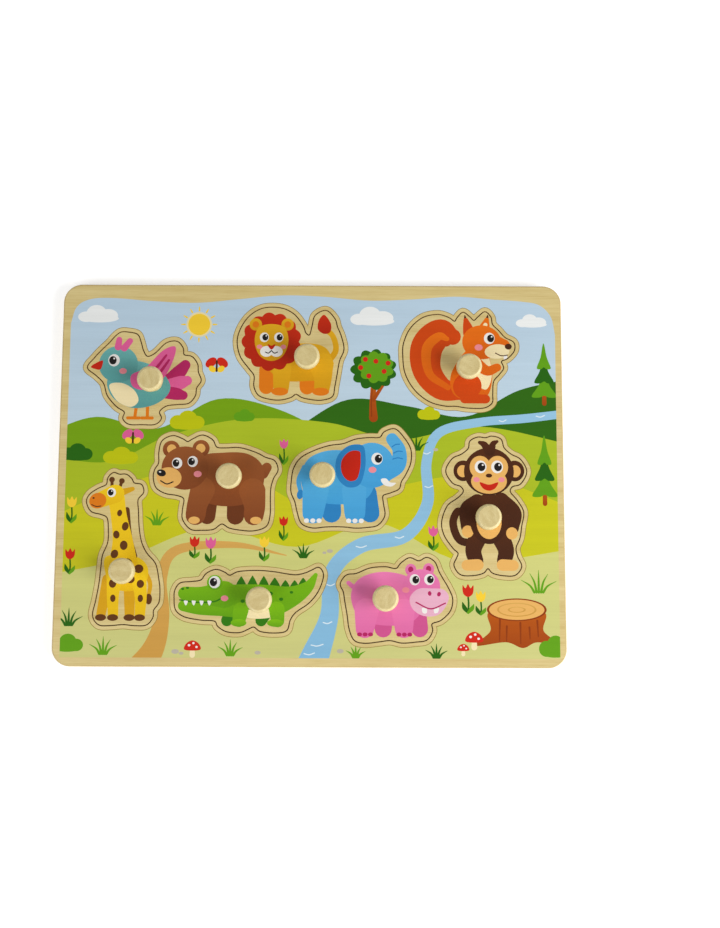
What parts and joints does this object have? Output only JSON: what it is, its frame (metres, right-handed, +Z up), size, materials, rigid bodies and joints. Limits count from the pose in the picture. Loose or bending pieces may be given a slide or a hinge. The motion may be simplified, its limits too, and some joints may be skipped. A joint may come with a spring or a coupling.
{
  "type": "peg puzzle",
  "caption": "Flat wooden peg puzzle board whose knobbed animal pieces lift out of matching pockets.",
  "frame": {"origin": "middle of the underside of the board, which lies flat", "axes": "+X along the long side to the right of the picture, +Y along the short side towards its top, +Z up out of the picture"},
  "size_m": [0.3, 0.228, 0.022],
  "materials": {
    "board_print": "birch plywood, printed, satin",
    "back_ply": "birch plywood, sanded",
    "knob_wood": "turned wood, sanded",
    "screw_steel": "zinc plated",
    "bird_print": "birch plywood, printed, satin",
    "lion_print": "birch plywood, printed, satin",
    "squirrel_print": "birch plywood, printed, satin",
    "bear_print": "birch plywood, printed, satin",
    "elephant_print": "birch plywood, printed, satin",
    "monkey_print": "birch plywood, printed, satin",
    "giraffe_print": "birch plywood, printed, satin",
    "crocodile_print": "birch plywood, printed, satin",
    "hippo_print": "birch plywood, printed, satin"
  },
  "bodies": {
    "board": {"front_panel": "board_print", "back_panel": "back_ply"},
    "bird": {"bird_piece": "bird_print", "bird_knob": "knob_wood", "bird_screw": "screw_steel"},
    "lion": {"lion_piece": "lion_print", "lion_knob": "knob_wood", "lion_screw": "screw_steel"},
    "squirrel": {"squirrel_piece": "squirrel_print", "squirrel_knob": "knob_wood", "squirrel_screw": "screw_steel"},
    "bear": {"bear_piece": "bear_print", "bear_knob": "knob_wood", "bear_screw": "screw_steel"},
    "elephant": {"elephant_piece": "elephant_print", "elephant_knob": "knob_wood", "elephant_screw": "screw_steel"},
    "monkey": {"monkey_piece": "monkey_print", "monkey_knob": "knob_wood", "monkey_screw": "screw_steel"},
    "giraffe": {"giraffe_piece": "giraffe_print", "giraffe_knob": "knob_wood", "giraffe_screw": "screw_steel"},
    "crocodile": {"crocodile_piece": "crocodile_print", "crocodile_knob": "knob_wood", "crocodile_screw": "screw_steel"},
    "hippo": {"hippo_piece": "hippo_print", "hippo_knob": "knob_wood", "hippo_screw": "screw_steel"}
  },
  "joints": [
    {"name": "bird_lift", "type": "slide", "parent": "board", "child": "bird", "axis": [0, 0, 1], "range_m": [0, 0.04]},
    {"name": "lion_lift", "type": "slide", "parent": "board", "child": "lion", "axis": [0, 0, 1], "range_m": [0, 0.04]},
    {"name": "squirrel_lift", "type": "slide", "parent": "board", "child": "squirrel", "axis": [0, 0, 1], "range_m": [0, 0.04]},
    {"name": "bear_lift", "type": "slide", "parent": "board", "child": "bear", "axis": [0, 0, 1], "range_m": [0, 0.04]},
    {"name": "elephant_lift", "type": "slide", "parent": "board", "child": "elephant", "axis": [0, 0, 1], "range_m": [0, 0.04]},
    {"name": "monkey_lift", "type": "slide", "parent": "board", "child": "monkey", "axis": [0, 0, 1], "range_m": [0, 0.04]},
    {"name": "giraffe_lift", "type": "slide", "parent": "board", "child": "giraffe", "axis": [0, 0, 1], "range_m": [0, 0.04]},
    {"name": "crocodile_lift", "type": "slide", "parent": "board", "child": "crocodile", "axis": [0, 0, 1], "range_m": [0, 0.04]},
    {"name": "hippo_lift", "type": "slide", "parent": "board", "child": "hippo", "axis": [0, 0, 1], "range_m": [0, 0.04]}
  ]
}
